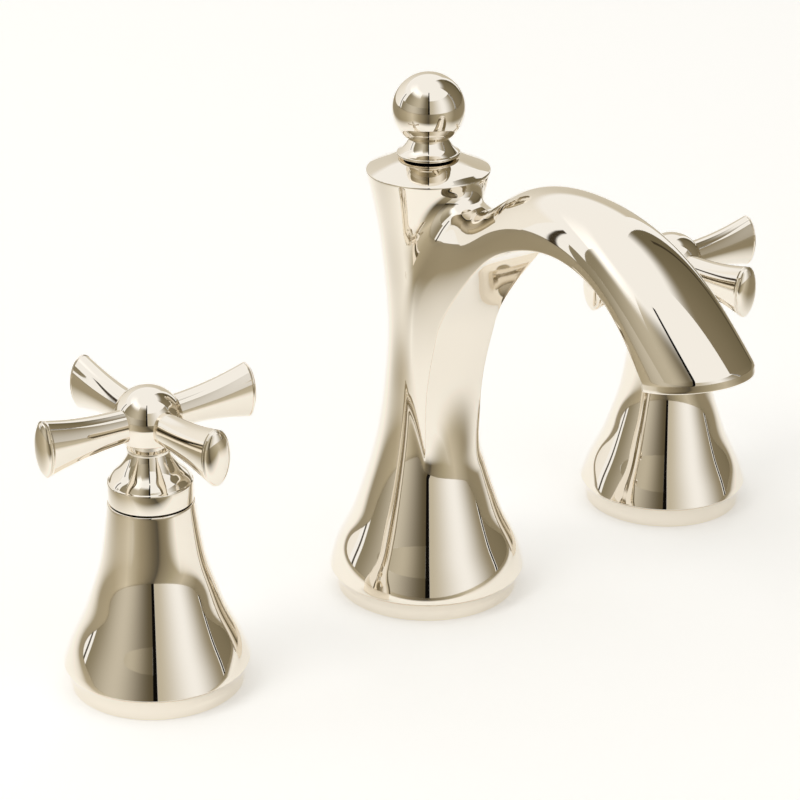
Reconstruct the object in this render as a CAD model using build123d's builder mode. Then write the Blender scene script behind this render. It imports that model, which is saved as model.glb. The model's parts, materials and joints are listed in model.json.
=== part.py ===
from build123d import *
import os
from math import sqrt

# Widespread bathroom faucet: a spout and two cross-handle valves, standing on a countertop.
# Units are millimetres. The deck's top face is z = 0, +Z is up, the spout's column is on the Z axis and the
# spout points along -Y, towards the user. The hot handle is at -X and the cold handle at +X.

os.makedirs("parts", exist_ok=True)

# Driving sizes of the set
handle_spacing = 203.2
deck_thickness = 30.0
shank_drop = 52.0

# Clearances
water_film = 0.05
running_gap = 0.07
slip_gap = 0.10
thread_gap = 0.15
free_gap = 0.45
overrun = 2.0
edge_break = 0.4

# Escutcheon: a flared bell on a plinth
plinth_r = 25.55
plinth_h = 3.4
ridge_r = 27.45
ridge_z = 7.2
bell_top_r = 12.6
bell_top_z = 58.2
bell_wall = 1.6
bell_lip = 1.6
bell_hole_r = 9.0
bell_boss_low_share = 0.29
bell_boss_high_share = 0.45
cove_share = 0.35
bell_shares = ((0.13, 0.835), (0.29, 0.576), (0.45, 0.377), (0.60, 0.215), (0.76, 0.108))
gasket_h = 1.6
gasket_w = 4.0

# Handle: skirt, hub and arms
band_r = 12.4
band_low_z = bell_top_z + free_gap
band_high_z = 64.9
skirt_neck_r = 6.0
skirt_neck_z = 74.0
skirt_collar_r = 6.4
skirt_top_z = 75.0
skirt_wall = 1.6
skirt_shares = ((0.176, 0.82), (0.363, 0.54), (0.593, 0.27), (0.824, 0.085))
hub_r = 10.0
hub_foot_r = 8.0
hub_low_z = 77.6
hub_centre_z = 83.5
hub_neck_r = 5.3
arm_root = 7.0
arm_reach = 34.1
arm_dome = 2.0
arm_root_half_w = 4.2
arm_tip_half_w = 4.6
arm_root_half_h = 4.8
arm_tip_half_h = 8.5
arm_shares = ((0.0, 0.0), (0.33, 0.14), (0.67, 0.47), (1.0, 1.0))
arm_collar = 0.8
adapter_r = 4.3
adapter_low_z = 62.0
adapter_high_z = 82.5
hub_bore_high_z = 83.2
screw_r = 1.5
screw_socket_r = 0.8
screw_socket_depth = 1.4
screw_length = 4.4
screw_azimuth = 45.0

# Valve body and cartridge
shank_r = 13.8
shank_high_z = 12.0
neck_r = 11.0
body_high_z = 36.0
chamber_r = 8.0
chamber_low_z = 16.0
tee_r = 15.0
tee_h = 22.0
inlet_r = 10.48
inlet_length = 16.0
outlet_r = 7.14
outlet_collar_r = 9.0
outlet_collar_reach = 15.4
outlet_reach = 29.0
port_offset = 3.4
port_r = 1.7
outlet_bore_r = 4.5
inlet_bore_r = 7.0
seal_h = 1.6
disc_h = 3.0
disc_r = 6.7
disc_slot_w = 3.0
disc_slot_depth = 1.6
sleeve_bore_r = 6.9
sleeve_flange_r = 10.5
sleeve_flange_h = 1.5
sleeve_neck_r = 6.4
sleeve_high_z = 47.0
stem_r = 4.0
stem_foot_r = 6.6
stem_foot_h = 3.0
stem_shoulder_z = 52.0
stem_high_z = 82.0
broach_r = 3.0
broach_flutes = 12
broach_flute_r = 0.35
o_ring_r = 0.55
o_ring_z = 43.0
bonnet_corner_r = 13.2
bonnet_low_z = 30.5
bonnet_web = 2.0
locknut_corner_r = 19.0
locknut_h = 7.0
washer_h = 3.0
metal_washer_h = 1.5
washer_r = 22.0
mounting_nut_h = 8.0
mounting_nut_corner_r = 21.0

# Spout column
column_plinth_r = 28.2
column_plinth_h = 3.4
column_ridge_r = 30.5
column_ridge_z = 6.8
column_waist_r = 12.15
column_top_r = 18.6
column_top_z = 136.9
column_wall = 2.3
cone_top_r = 9.0
cone_top_z = 140.9
column_low_shares = ((0.055, 0.89), (0.117, 0.678), (0.178, 0.515), (0.255, 0.343), (0.363, 0.161), (0.486, 0.052))
column_waist_share = 0.609
column_high_shares = ((0.732, 0.132), (0.855, 0.42))
column_web_low_z = 5.0
column_web_high_z = 14.0
column_cavity_high_z = 128.0
column_recess_r = 24.0

# Spout arch: stations along it, from the column to the mouth. Each one gives the lower edge and the crown as
# shares of the reach and of the arch's height, then the half width, the belly of the underside and how far the
# flank leans out as shares of the mouth's half width, and the exponent that squares the flank
spout_reach = 130.3
arch_height = 147.0
mouth_half_w = 17.6
arch_stations_shares = (
    ((0.0936, 0.2585), (-0.0150, 0.3270), 0.590, 0.340, 0.02, 4.0),
    ((0.0944, 0.3537), (-0.0230, 0.4490), 0.602, 0.312, 0.06, 4.0),
    ((0.1036, 0.4898), (-0.0150, 0.6120), 0.622, 0.057, 0.10, 4.0),
    ((0.1351, 0.6020), (0.0000, 0.7620), 0.648, 0.017, 0.12, 4.0),
    ((0.1888, 0.6993), (0.1350, 0.8910), 0.668, 0.017, 0.10, 3.2),
    ((0.2717, 0.7912), (0.2000, 0.8905), 0.690, 0.017, 0.04, 2.6),
    ((0.3876, 0.8687), (0.3340, 0.9633), 0.727, 0.017, 0.00, 2.3),
    ((0.5449, 0.9054), (0.5411, 1.0000), 0.801, 0.028, 0.00, 2.2),
    ((0.7022, 0.8782), (0.7368, 0.9497), 0.892, 0.051, 0.00, 2.1),
    ((0.8028, 0.8129), (0.8849, 0.8605), 0.960, 0.102, 0.00, 2.0),
    ((0.8649, 0.7476), (1.0000, 0.7680), 1.000, 0.170, 0.00, 2.0),
)
section_shares = (0.25, 0.50, 0.72, 0.88, 0.97)
lip_h = 2.4

# Mouth and aerator
aerator_r = 8.25
aerator_place_share = 0.19
aerator_depth = 8.0
aerator_sink = 0.5
aerator_lip = 1.0
aerator_wall = 1.2
aerator_plate_h = 1.2
aerator_hole_r = 0.6
aerator_rings = ((0.36, 6), (0.72, 12))
aerator_washer_h = 1.2
aerator_washer_bore_r = 5.0
aerator_boss_wall = 1.6
aerator_boss_h = 12.0

# Waterway, shank and lift rod
tube_r = 3.4
tube_wall = 0.8
tube_y = -7.0
tube_low_z = -106.0
tube_jog_y = -24.0
tube_jog_low_z = -88.0
tube_jog_high_z = -71.0
tube_bend_r = 14.0
tube_corner_shares = ((0.283, 0.876), (0.415, 0.946), (0.614, 0.952), (0.755, 0.892))
tube_turn_share = 0.633
tube_end_share = 0.5
spigot_r = 4.3
spigot_h = 22.0
spigot_ring_r = 0.45
spigot_ring_places = (4.0, 8.0)
spout_shank_r = 14.0
spout_shank_bore_r = 11.6
spout_shank_low_z = -62.0
spout_shank_flange_r = 17.5
spout_shank_flange_h = 3.0
rod_r = 2.4
rod_low_z = -124.0
rod_high_z = 152.0
rod_travel = 22.0
guide_r = 4.2
guide_flange_r = 6.0
guide_flange_h = 1.2
knob_collar_low_z = cone_top_z + free_gap
knob_collar_r = 9.5
knob_collar_rim = 1.0
knob_neck_r = 5.8
ball_r = 10.87
ball_z = 155.4


def upright(x, y=0):
    """The plane through an upright axis in which half sections are drawn, as radius and height."""
    return Plane(origin=(x, y, 0), x_dir=(1, 0, 0), z_dir=(0, -1, 0))


def level(x, y, z):
    """A level plane centred on an upright axis."""
    return Plane(origin=(x, y, z))


def spun(half_section, x=0, y=0):
    """A turned piece: its half section, as (radius, height) points, spun round an upright axis."""
    with BuildPart() as piece:
        with BuildSketch(upright(x, y)):
            with BuildLine():
                Polyline(*half_section, close=True)
            make_face()
        revolve(axis=Axis((x, y, 0), (0, 0, 1)))
    return piece


def ring(x, y, low_z, high_z, outer_r, inner_r):
    """A plain ring or washer."""
    return spun(((inner_r, low_z), (outer_r, low_z), (outer_r, high_z), (inner_r, high_z)), x, y)


def hex_nut(x, low_z, high_z, corner_r, bore_r):
    """A hexagon nut with its corners turned off."""
    with BuildPart() as piece:
        with BuildSketch(level(x, 0, low_z)):
            RegularPolygon(corner_r, 6)
            Circle(bore_r, mode=Mode.SUBTRACT)
        extrude(amount=high_z - low_z)
        chamfer(piece.faces().sort_by(Axis.Z)[-1].outer_wire().edges(), edge_break)
        chamfer(piece.faces().sort_by(Axis.Z)[0].outer_wire().edges(), edge_break)
    return piece


def export(piece, name):
    """Labels a finished piece and writes it as its own file."""
    piece.part.label = name
    export_step(piece.part, f"parts/{name}.step")


# Side towers

def bell_point(height_share, radius_share, inset):
    """A point of the bell's flare, inset from its outside by a wall."""
    radius = bell_top_r + (ridge_r - bell_top_r) * radius_share - inset
    return (radius, ridge_z + (bell_top_z - ridge_z) * height_share)


def escutcheon(x):
    """Hollow bell on its plinth, with a threaded boss inside that screws on the valve's neck."""
    outer = [bell_point(*share, 0) for share in bell_shares]
    inner = [bell_point(*share, bell_wall) for share in reversed(bell_shares)]
    cove_r = plinth_r + (ridge_r - plinth_r) * cove_share
    cove_z = ridge_z - (ridge_z - plinth_h) * cove_share
    boss = [bell_point(*share, bell_wall / 2) for share in bell_shares[1:3]]
    with BuildPart() as piece:
        with BuildSketch(upright(x)):
            with BuildLine():
                Polyline((plinth_r - bell_wall, 0), (plinth_r, 0), (plinth_r, plinth_h))
                ThreePointArc((plinth_r, plinth_h), (cove_r, cove_z), (ridge_r, ridge_z))
                Spline((ridge_r, ridge_z), *outer, (bell_top_r, bell_top_z))
                Polyline(
                    (bell_top_r, bell_top_z),
                    (bell_hole_r, bell_top_z),
                    (bell_hole_r, bell_top_z - bell_lip),
                    (bell_top_r - bell_wall, bell_top_z - bell_lip),
                )
                Spline((bell_top_r - bell_wall, bell_top_z - bell_lip), *inner, (ridge_r - bell_wall, ridge_z))
                Line((ridge_r - bell_wall, ridge_z), (plinth_r - bell_wall, plinth_h))
                Line((plinth_r - bell_wall, plinth_h), (plinth_r - bell_wall, 0))
            make_face()
        revolve(axis=Axis((x, 0, 0), (0, 0, 1)))
        with BuildSketch(upright(x)):
            with BuildLine():
                Polyline(
                    (neck_r + thread_gap, boss[0][1]),
                    boss[0],
                    boss[1],
                    (neck_r + thread_gap, boss[1][1]),
                    close=True,
                )
            make_face()
        revolve(axis=Axis((x, 0, 0), (0, 0, 1)))
    return piece


def handle_skirt(x):
    """Flared skirt with its band: it stands on the adapter just above the bell and turns with the hub."""
    def skirt_point(height_share, radius_share):
        radius = skirt_neck_r + (band_r - edge_break - skirt_neck_r) * radius_share
        return (radius, band_high_z + (skirt_neck_z - band_high_z) * height_share)

    outer = [skirt_point(*share) for share in skirt_shares]
    bore_r = adapter_r + slip_gap
    with BuildPart() as piece:
        with BuildSketch(upright(x)):
            with BuildLine():
                Polyline(
                    (band_r - skirt_wall, band_low_z),
                    (band_r, band_low_z),
                    (band_r, band_high_z - edge_break),
                    (band_r - edge_break, band_high_z),
                )
                Spline((band_r - edge_break, band_high_z), *outer, (skirt_neck_r, skirt_neck_z))
                Polyline(
                    (skirt_neck_r, skirt_neck_z),
                    (skirt_collar_r, skirt_neck_z),
                    (skirt_collar_r, skirt_top_z),
                    (bore_r, skirt_top_z),
                    (bore_r, skirt_point(*skirt_shares[2])[1]),
                    (band_r - skirt_wall, band_high_z - skirt_wall),
                    (band_r - skirt_wall, band_low_z),
                )
            make_face()
        revolve(axis=Axis((x, 0, 0), (0, 0, 1)))
    return piece


def outward(x, azimuth, distance):
    """An upright plane that faces away from the handle's axis, at the height of the arms."""
    direction = Vector(1, 0, 0).rotate(Axis.Z, azimuth)
    return Plane(origin=Vector(x, 0, hub_centre_z) + direction * distance, x_dir=(0, 0, 1), z_dir=direction)


def screw_plane(x, distance):
    """The plane square to the set screw, at the hub's back."""
    return outward(x, screw_azimuth if x > 0 else 180 - screw_azimuth, distance)


with BuildPart() as arm_tip:
    Sphere(arm_dome, arc_size1=0, align=(Align.CENTER, Align.CENTER, Align.MIN))
    scale(by=(arm_tip_half_h / arm_dome, arm_tip_half_w / arm_dome, 1))


def cross_handle(x):
    """Domed hub with four oval arms that flare to domed tips."""
    with BuildPart() as piece:
        with BuildSketch(upright(x)):
            with BuildLine():
                Polyline(
                    (0, hub_centre_z + hub_r),
                    (0, skirt_top_z),
                    (hub_neck_r, skirt_top_z),
                    (hub_neck_r, hub_low_z),
                    (hub_foot_r - edge_break, hub_low_z),
                    (hub_foot_r, hub_low_z + edge_break),
                    (hub_r, hub_centre_z),
                )
                CenterArc((0, hub_centre_z), hub_r, 0, 90)
            make_face()
        revolve(axis=Axis((x, 0, 0), (0, 0, 1)))
        for turn in range(4):
            for reach_share, flare_share in arm_shares:
                with BuildSketch(outward(x, 90 * turn, arm_root + (arm_reach - arm_root) * reach_share)):
                    Ellipse(
                        arm_root_half_h + (arm_tip_half_h - arm_root_half_h) * flare_share,
                        arm_root_half_w + (arm_tip_half_w - arm_root_half_w) * flare_share,
                    )
            loft()
            add(outward(x, 90 * turn, arm_reach).location * arm_tip.part)
        with BuildSketch(level(x, 0, skirt_top_z)):
            Circle(adapter_r + slip_gap)
        extrude(amount=hub_bore_high_z - skirt_top_z, mode=Mode.SUBTRACT)
        with BuildSketch(screw_plane(x, adapter_r)):
            Circle(screw_r + slip_gap)
        extrude(amount=hub_r, mode=Mode.SUBTRACT)
    return piece


def set_screw(x):
    """Headless screw with a socket, in the back of the hub."""
    with BuildPart() as piece:
        with BuildSketch(screw_plane(x, adapter_r + water_film)):
            Circle(screw_r)
        extrude(amount=screw_length)
        with BuildSketch(screw_plane(x, adapter_r + water_film + screw_length)):
            RegularPolygon(screw_socket_r, 6)
        extrude(amount=-screw_socket_depth, mode=Mode.SUBTRACT)
    return piece


def handle_adapter(x):
    """Sleeve that carries hub and skirt on the stem's broached end."""
    return spun(
        (
            (broach_r + water_film, adapter_low_z),
            (adapter_r, adapter_low_z),
            (adapter_r, adapter_high_z),
            (broach_r + water_film, adapter_high_z),
        ),
        x,
    )


disc_low_z = chamber_low_z + seal_h
moving_disc_low_z = disc_low_z + disc_h + water_film
stem_low_z = moving_disc_low_z + disc_h
sleeve_shoulder_z = stem_low_z + stem_foot_h + slip_gap


def cartridge_stem(x):
    """Spindle: a foot that drives the moving disc, a shaft with a ring groove and a broached end."""
    groove_r = stem_r - 2 * o_ring_r
    with BuildPart() as piece:
        with BuildSketch(upright(x)):
            with BuildLine():
                Polyline(
                    (0, stem_low_z),
                    (stem_foot_r, stem_low_z),
                    (stem_foot_r, stem_low_z + stem_foot_h),
                    (stem_r, stem_low_z + stem_foot_h),
                    (stem_r, o_ring_z - 2 * o_ring_r),
                    (groove_r, o_ring_z - 2 * o_ring_r),
                    (groove_r, o_ring_z + 2 * o_ring_r),
                    (stem_r, o_ring_z + 2 * o_ring_r),
                    (stem_r, stem_shoulder_z),
                    (broach_r, stem_shoulder_z),
                    (broach_r, stem_high_z - edge_break),
                    (broach_r - edge_break, stem_high_z),
                    (0, stem_high_z),
                    close=True,
                )
            make_face()
        revolve(axis=Axis((x, 0, 0), (0, 0, 1)))
        with BuildSketch(level(x, 0, stem_shoulder_z)):
            with PolarLocations(broach_r, broach_flutes):
                Circle(broach_flute_r)
        extrude(amount=stem_high_z - stem_shoulder_z, mode=Mode.SUBTRACT)
    return piece


def stem_o_ring(x):
    """Rubber ring in the stem's groove."""
    centre_r = stem_r - o_ring_r
    with BuildPart() as piece:
        with BuildSketch(upright(x)):
            with Locations((centre_r, o_ring_z)):
                Circle(o_ring_r)
        revolve(axis=Axis((x, 0, 0), (0, 0, 1)))
    return piece


def ported_disc(x, low_z, height, radius):
    """A disc with the water's two ports, which lie towards the spout and away from it."""
    with BuildPart() as piece:
        with BuildSketch(level(x, 0, low_z)):
            Circle(radius)
            with Locations((port_offset, 0), (-port_offset, 0)):
                Circle(port_r, mode=Mode.SUBTRACT)
        extrude(amount=height)
    return piece


def moving_disc(x):
    """Ceramic disc whose slot joins the two ports when the handle has turned a quarter."""
    with BuildPart() as piece:
        with BuildSketch(level(x, 0, moving_disc_low_z)):
            Circle(stem_foot_r)
        extrude(amount=disc_h)
        with BuildSketch(level(x, 0, moving_disc_low_z)):
            SlotOverall(2 * (port_offset + port_r), disc_slot_w, rotation=90)
        extrude(amount=disc_slot_depth, mode=Mode.SUBTRACT)
    return piece


def cartridge_body(x):
    """Sleeve that holds the discs and guides the stem, with a flange that the bonnet nut holds down."""
    return spun(
        (
            (sleeve_bore_r, chamber_low_z),
            (chamber_r - slip_gap, chamber_low_z),
            (chamber_r - slip_gap, body_high_z),
            (sleeve_flange_r, body_high_z),
            (sleeve_flange_r, body_high_z + sleeve_flange_h),
            (sleeve_neck_r, body_high_z + sleeve_flange_h),
            (sleeve_neck_r, sleeve_high_z),
            (stem_r + running_gap, sleeve_high_z),
            (stem_r + running_gap, sleeve_shoulder_z),
            (sleeve_bore_r, sleeve_shoulder_z),
        ),
        x,
    )


def bonnet_nut(x):
    """Hexagon cap nut on the valve's neck, with a web that holds the cartridge's flange."""
    web_low_z = body_high_z + sleeve_flange_h
    with BuildPart() as piece:
        with BuildSketch(level(x, 0, bonnet_low_z)):
            RegularPolygon(bonnet_corner_r, 6)
        extrude(amount=web_low_z + bonnet_web - bonnet_low_z)
        chamfer(piece.faces().sort_by(Axis.Z)[-1].edges(), edge_break)
        with BuildSketch(level(x, 0, bonnet_low_z)):
            Circle(neck_r + thread_gap)
        extrude(amount=web_low_z - bonnet_low_z, mode=Mode.SUBTRACT)
        with BuildSketch(level(x, 0, web_low_z)):
            Circle(sleeve_neck_r + slip_gap)
        extrude(amount=bonnet_web, mode=Mode.SUBTRACT)
    return piece


def valve_body(x):
    """Brass body: inlet nipple, tee with the side outlet, threaded shank, neck and cartridge chamber."""
    inward = -1 if x > 0 else 1
    tee_low_z = -shank_drop - tee_h
    outlet_z = -shank_drop - tee_h / 2
    with BuildPart() as piece:
        with BuildSketch(upright(x)):
            with BuildLine():
                Polyline(
                    (0, tee_low_z - inlet_length),
                    (inlet_r - edge_break, tee_low_z - inlet_length),
                    (inlet_r, tee_low_z - inlet_length + edge_break),
                    (inlet_r, tee_low_z),
                    (tee_r - edge_break, tee_low_z),
                    (tee_r, tee_low_z + edge_break),
                    (tee_r, -shank_drop - edge_break),
                    (tee_r - edge_break, -shank_drop),
                    (shank_r, -shank_drop),
                    (shank_r, shank_high_z - edge_break),
                    (shank_r - edge_break, shank_high_z),
                    (neck_r, shank_high_z),
                    (neck_r, body_high_z),
                    (chamber_r, body_high_z),
                    (chamber_r, chamber_low_z),
                    (0, chamber_low_z),
                    close=True,
                )
            make_face()
        revolve(axis=Axis((x, 0, 0), (0, 0, 1)))
        side = Plane(origin=(x, 0, outlet_z), x_dir=(0, 1, 0), z_dir=(inward, 0, 0))
        with BuildSketch(side):
            Circle(outlet_collar_r)
        extrude(amount=outlet_collar_reach)
        with BuildSketch(side):
            Circle(outlet_r)
        extrude(amount=outlet_reach)
        with BuildSketch(side.offset(port_offset)):
            Circle(outlet_bore_r)
        extrude(amount=outlet_reach - port_offset, mode=Mode.SUBTRACT)
        with BuildSketch(level(x - inward * port_offset, 0, tee_low_z)):
            Circle(port_r)
        extrude(amount=chamber_low_z - tee_low_z, mode=Mode.SUBTRACT)
        with BuildSketch(level(x + inward * port_offset, 0, outlet_z)):
            Circle(port_r)
        extrude(amount=chamber_low_z - outlet_z, mode=Mode.SUBTRACT)
        with BuildSketch(level(x, 0, tee_low_z - inlet_length)):
            Circle(inlet_bore_r)
        extrude(amount=inlet_length, mode=Mode.SUBTRACT)
    return piece


# Spout

def column_point(height_share, radius_share, far_r, inset):
    """A point of the column's outline, inset from its outside by a wall."""
    radius = column_waist_r + (far_r - column_waist_r) * radius_share - inset
    return (radius, column_ridge_z + (column_top_z - column_ridge_z) * height_share)


def column_outline(inset):
    """The column's outline between its ridge and its top rim, from the bottom up."""
    low = [column_point(*share, column_ridge_r, inset) for share in column_low_shares]
    waist = [column_point(column_waist_share, 0, column_ridge_r, inset)]
    high = [column_point(*share, column_top_r, inset) for share in column_high_shares]
    return low + waist + high


def arch_section(station):
    """One section of the arch: sharp lower corners, squared flanks, a crown and a bellied underside."""
    (edge_y, edge_z), (crown_y, crown_z), width, belly, lean, power = station
    edge = Vector(0, -edge_y * spout_reach, edge_z * arch_height)
    crown = Vector(0, -crown_y * spout_reach, crown_z * arch_height)
    rise = (crown - edge).length
    plane = Plane(origin=edge, x_dir=(1, 0, 0), z_dir=Vector(1, 0, 0).cross(crown - edge))
    half = width * mouth_half_w
    flank = [
        ((half + lean * mouth_half_w * share) * sqrt(1 - share**power), rise * share)
        for share in section_shares
    ]
    mirrored = [(-across, up) for across, up in reversed(flank)]
    with BuildSketch(plane) as sketch:
        with BuildLine():
            Spline((half, 0), *flank, (0, rise), *mirrored, (-half, 0))
            ThreePointArc((-half, 0), (0, -belly * mouth_half_w), (half, 0))
        make_face()
    return sketch


def station_point(share):
    """A point of the arch's middle plane, given as shares of its reach and height."""
    return Vector(0, -share[0] * spout_reach, share[1] * arch_height)


mouth_edge = station_point(arch_stations_shares[-1][0])
mouth_crown = station_point(arch_stations_shares[-1][1])
mouth_across = (mouth_crown - mouth_edge).normalized()
mouth_down = Vector(1, 0, 0).cross(mouth_across)
mouth_centre = mouth_edge + (mouth_crown - mouth_edge) * aerator_place_share + mouth_down * lip_h


def mouth_plane(depth):
    """The plane across the aerator's axis, at a depth inside the mouth's rim."""
    return Plane(origin=mouth_centre - mouth_down * depth, x_dir=(1, 0, 0), z_dir=mouth_down)


# The waterway's line: its foot stands clear of the lift rod for the hose's socket, then it runs up beside
# the rod, over inside the arch and down to the aerator's seat
aerator_seat = mouth_centre - mouth_down * aerator_depth
tube_corners = [station_point(share) for share in tube_corner_shares]
tube_end = tube_corners[-1] + (aerator_seat - tube_corners[-1]) * tube_end_share
with BuildLine(Plane.YZ) as tube_line:
    FilletPolyline(
        (tube_jog_y, tube_low_z),
        (tube_jog_y, tube_jog_low_z),
        (tube_y, tube_jog_high_z),
        (tube_y, tube_turn_share * arch_height),
        *[(corner.Y, corner.Z) for corner in tube_corners],
        (tube_end.Y, tube_end.Z),
        radius=tube_bend_r,
    )

with BuildPart() as tube_passage:
    with BuildSketch(level(0, tube_jog_y, tube_low_z)):
        Circle(tube_r + slip_gap)
    sweep(path=tube_line.line)
    with BuildSketch(Plane(origin=tube_end, z_dir=aerator_seat - tube_end)):
        Circle(tube_r - tube_wall)
    extrude(amount=(aerator_seat - tube_end).length + overrun / 2)

with BuildPart() as arch:
    for station in arch_stations_shares:
        add(arch_section(station).sketch)
    loft()
    extrude(arch_section(arch_stations_shares[-1]).sketch, amount=lip_h)
    with BuildSketch(mouth_plane(0)):
        Circle(aerator_r + aerator_boss_wall)
        split(bisect_by=Plane.XZ, keep=Keep.TOP)
    extrude(amount=-aerator_boss_h)

with BuildPart() as spout_body:
    with BuildSketch(upright(0)):
        with BuildLine():
            Polyline((0, 0), (column_plinth_r, 0), (column_plinth_r, column_plinth_h))
            ThreePointArc(
                (column_plinth_r, column_plinth_h),
                (
                    column_plinth_r + (column_ridge_r - column_plinth_r) * cove_share,
                    column_ridge_z - (column_ridge_z - column_plinth_h) * cove_share,
                ),
                (column_ridge_r, column_ridge_z),
            )
            Spline((column_ridge_r, column_ridge_z), *column_outline(0), (column_top_r, column_top_z))
            Polyline(
                (column_top_r, column_top_z),
                (column_top_r - edge_break, column_top_z + edge_break),
                (cone_top_r, cone_top_z),
                (0, cone_top_z),
                (0, 0),
            )
        make_face()
    revolve(axis=Axis.Z)
    add(arch.part)
    with BuildSketch(upright(0)):
        inner = column_outline(column_wall)
        with BuildLine():
            Polyline((0, inner[0][1]), inner[0])
            Spline(*inner)
            Polyline(
                inner[-1],
                (inner[-1][0], column_cavity_high_z),
                (0, column_cavity_high_z),
                (0, inner[0][1]),
            )
        make_face()
    revolve(axis=Axis.Z, mode=Mode.SUBTRACT)
    with BuildSketch(level(0, 0, 0)):
        Circle(spout_shank_r + thread_gap)
    extrude(amount=inner[0][1], mode=Mode.SUBTRACT)
    with BuildSketch(level(0, 0, 0)):
        Circle(column_recess_r)
    extrude(amount=column_web_low_z, mode=Mode.SUBTRACT)
    with BuildSketch(level(0, 0, column_cavity_high_z)):
        Circle(guide_r)
    extrude(amount=cone_top_z - column_cavity_high_z, mode=Mode.SUBTRACT)
    add(tube_passage.part, mode=Mode.SUBTRACT)
    with BuildSketch(mouth_plane(0)):
        Circle(aerator_r + slip_gap)
    extrude(amount=-aerator_depth, mode=Mode.SUBTRACT)
export(spout_body, "spout_body")

with BuildPart() as waterway_tube:
    with BuildSketch(level(0, tube_jog_y, tube_low_z)):
        Circle(tube_r)
        Circle(tube_r - tube_wall, mode=Mode.SUBTRACT)
    sweep(path=tube_line.line)
export(waterway_tube, "waterway_tube")

spigot_low_z = tube_low_z - spigot_h / 2
spigot_high_z = tube_low_z + spigot_h / 2
groove_r = spigot_r - 2 * spigot_ring_r
groove_outline = []
for place in spigot_ring_places:
    groove_outline += [
        (spigot_r, spigot_low_z + place - spigot_ring_r - slip_gap),
        (groove_r, spigot_low_z + place - spigot_ring_r - slip_gap),
        (groove_r, spigot_low_z + place + spigot_ring_r + slip_gap),
        (spigot_r, spigot_low_z + place + spigot_ring_r + slip_gap),
    ]
inlet_spigot = spun(
    (
        (tube_r - tube_wall, spigot_low_z),
        (spigot_r - edge_break, spigot_low_z),
        (spigot_r, spigot_low_z + edge_break),
        *groove_outline,
        (spigot_r, spigot_high_z),
        (tube_r + water_film, spigot_high_z),
        (tube_r + water_film, tube_low_z),
        (tube_r - tube_wall, tube_low_z),
    ),
    0,
    tube_jog_y,
)
export(inlet_spigot, "inlet_spigot")

for name, place in zip(("spigot_o_ring_low", "spigot_o_ring_high"), spigot_ring_places):
    with BuildPart() as spigot_o_ring:
        with BuildSketch(upright(0, tube_jog_y)):
            with Locations((spigot_r - spigot_ring_r, spigot_low_z + place)):
                Circle(spigot_ring_r)
        revolve(axis=Axis((0, tube_jog_y, 0), (0, 0, 1)))
    export(spigot_o_ring, name)

spout_shank = spun(
    (
        (spout_shank_bore_r, spout_shank_low_z),
        (spout_shank_r - edge_break, spout_shank_low_z),
        (spout_shank_r, spout_shank_low_z + edge_break),
        (spout_shank_r, column_web_low_z - spout_shank_flange_h),
        (spout_shank_flange_r, column_web_low_z - spout_shank_flange_h),
        (spout_shank_flange_r, column_web_low_z),
        (spout_shank_r, column_web_low_z),
        (spout_shank_r, inner[0][1]),
        (spout_shank_bore_r, inner[0][1]),
    )
)
export(spout_shank, "spout_shank")
export(ring(0, 0, 0, gasket_h, column_recess_r, column_recess_r - gasket_w), "spout_gasket")

lift_rod = spun(
    (
        (0, rod_low_z),
        (rod_r - edge_break, rod_low_z),
        (rod_r, rod_low_z + edge_break),
        (rod_r, rod_high_z),
        (0, rod_high_z),
    )
)
export(lift_rod, "lift_rod")

rod_guide = spun(
    (
        (rod_r + slip_gap, column_cavity_high_z - guide_flange_h),
        (guide_flange_r, column_cavity_high_z - guide_flange_h),
        (guide_flange_r, column_cavity_high_z),
        (guide_r, column_cavity_high_z),
        (guide_r, cone_top_z),
        (rod_r + slip_gap, cone_top_z),
    )
)
export(rod_guide, "rod_guide")

with BuildPart() as lift_knob:
    knob_neck_z = ball_z - sqrt(ball_r**2 - knob_neck_r**2)
    knob_rim_mid = knob_collar_rim / 2
    with BuildSketch(upright(0)):
        with BuildLine():
            Polyline((0, rod_high_z), (rod_r, rod_high_z), (rod_r, knob_collar_low_z))
            Line((rod_r, knob_collar_low_z), (knob_collar_r - knob_rim_mid, knob_collar_low_z))
            CenterArc((knob_collar_r - knob_rim_mid, knob_collar_low_z + knob_rim_mid), knob_rim_mid, -90, 180)
            Line(
                (knob_collar_r - knob_rim_mid, knob_collar_low_z + knob_collar_rim),
                (knob_neck_r, knob_neck_z),
            )
            ThreePointArc((knob_neck_r, knob_neck_z), (ball_r, ball_z), (0, ball_z + ball_r))
            Line((0, ball_z + ball_r), (0, rod_high_z))
        make_face()
    revolve(axis=Axis.Z)
export(lift_knob, "lift_knob")

# Aerator in the mouth: housing, insert and washer, from the rim inwards
housing_high = aerator_depth - aerator_washer_h
insert_r = aerator_r - aerator_wall
with BuildPart() as aerator_housing:
    with BuildSketch(mouth_plane(aerator_sink)):
        Circle(aerator_r)
        Circle(insert_r, mode=Mode.SUBTRACT)
    extrude(amount=aerator_sink - housing_high)
    with BuildSketch(mouth_plane(aerator_sink)):
        Circle(aerator_r)
        Circle(insert_r - aerator_lip, mode=Mode.SUBTRACT)
    extrude(amount=-aerator_lip)
export(aerator_housing, "aerator_housing")

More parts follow.
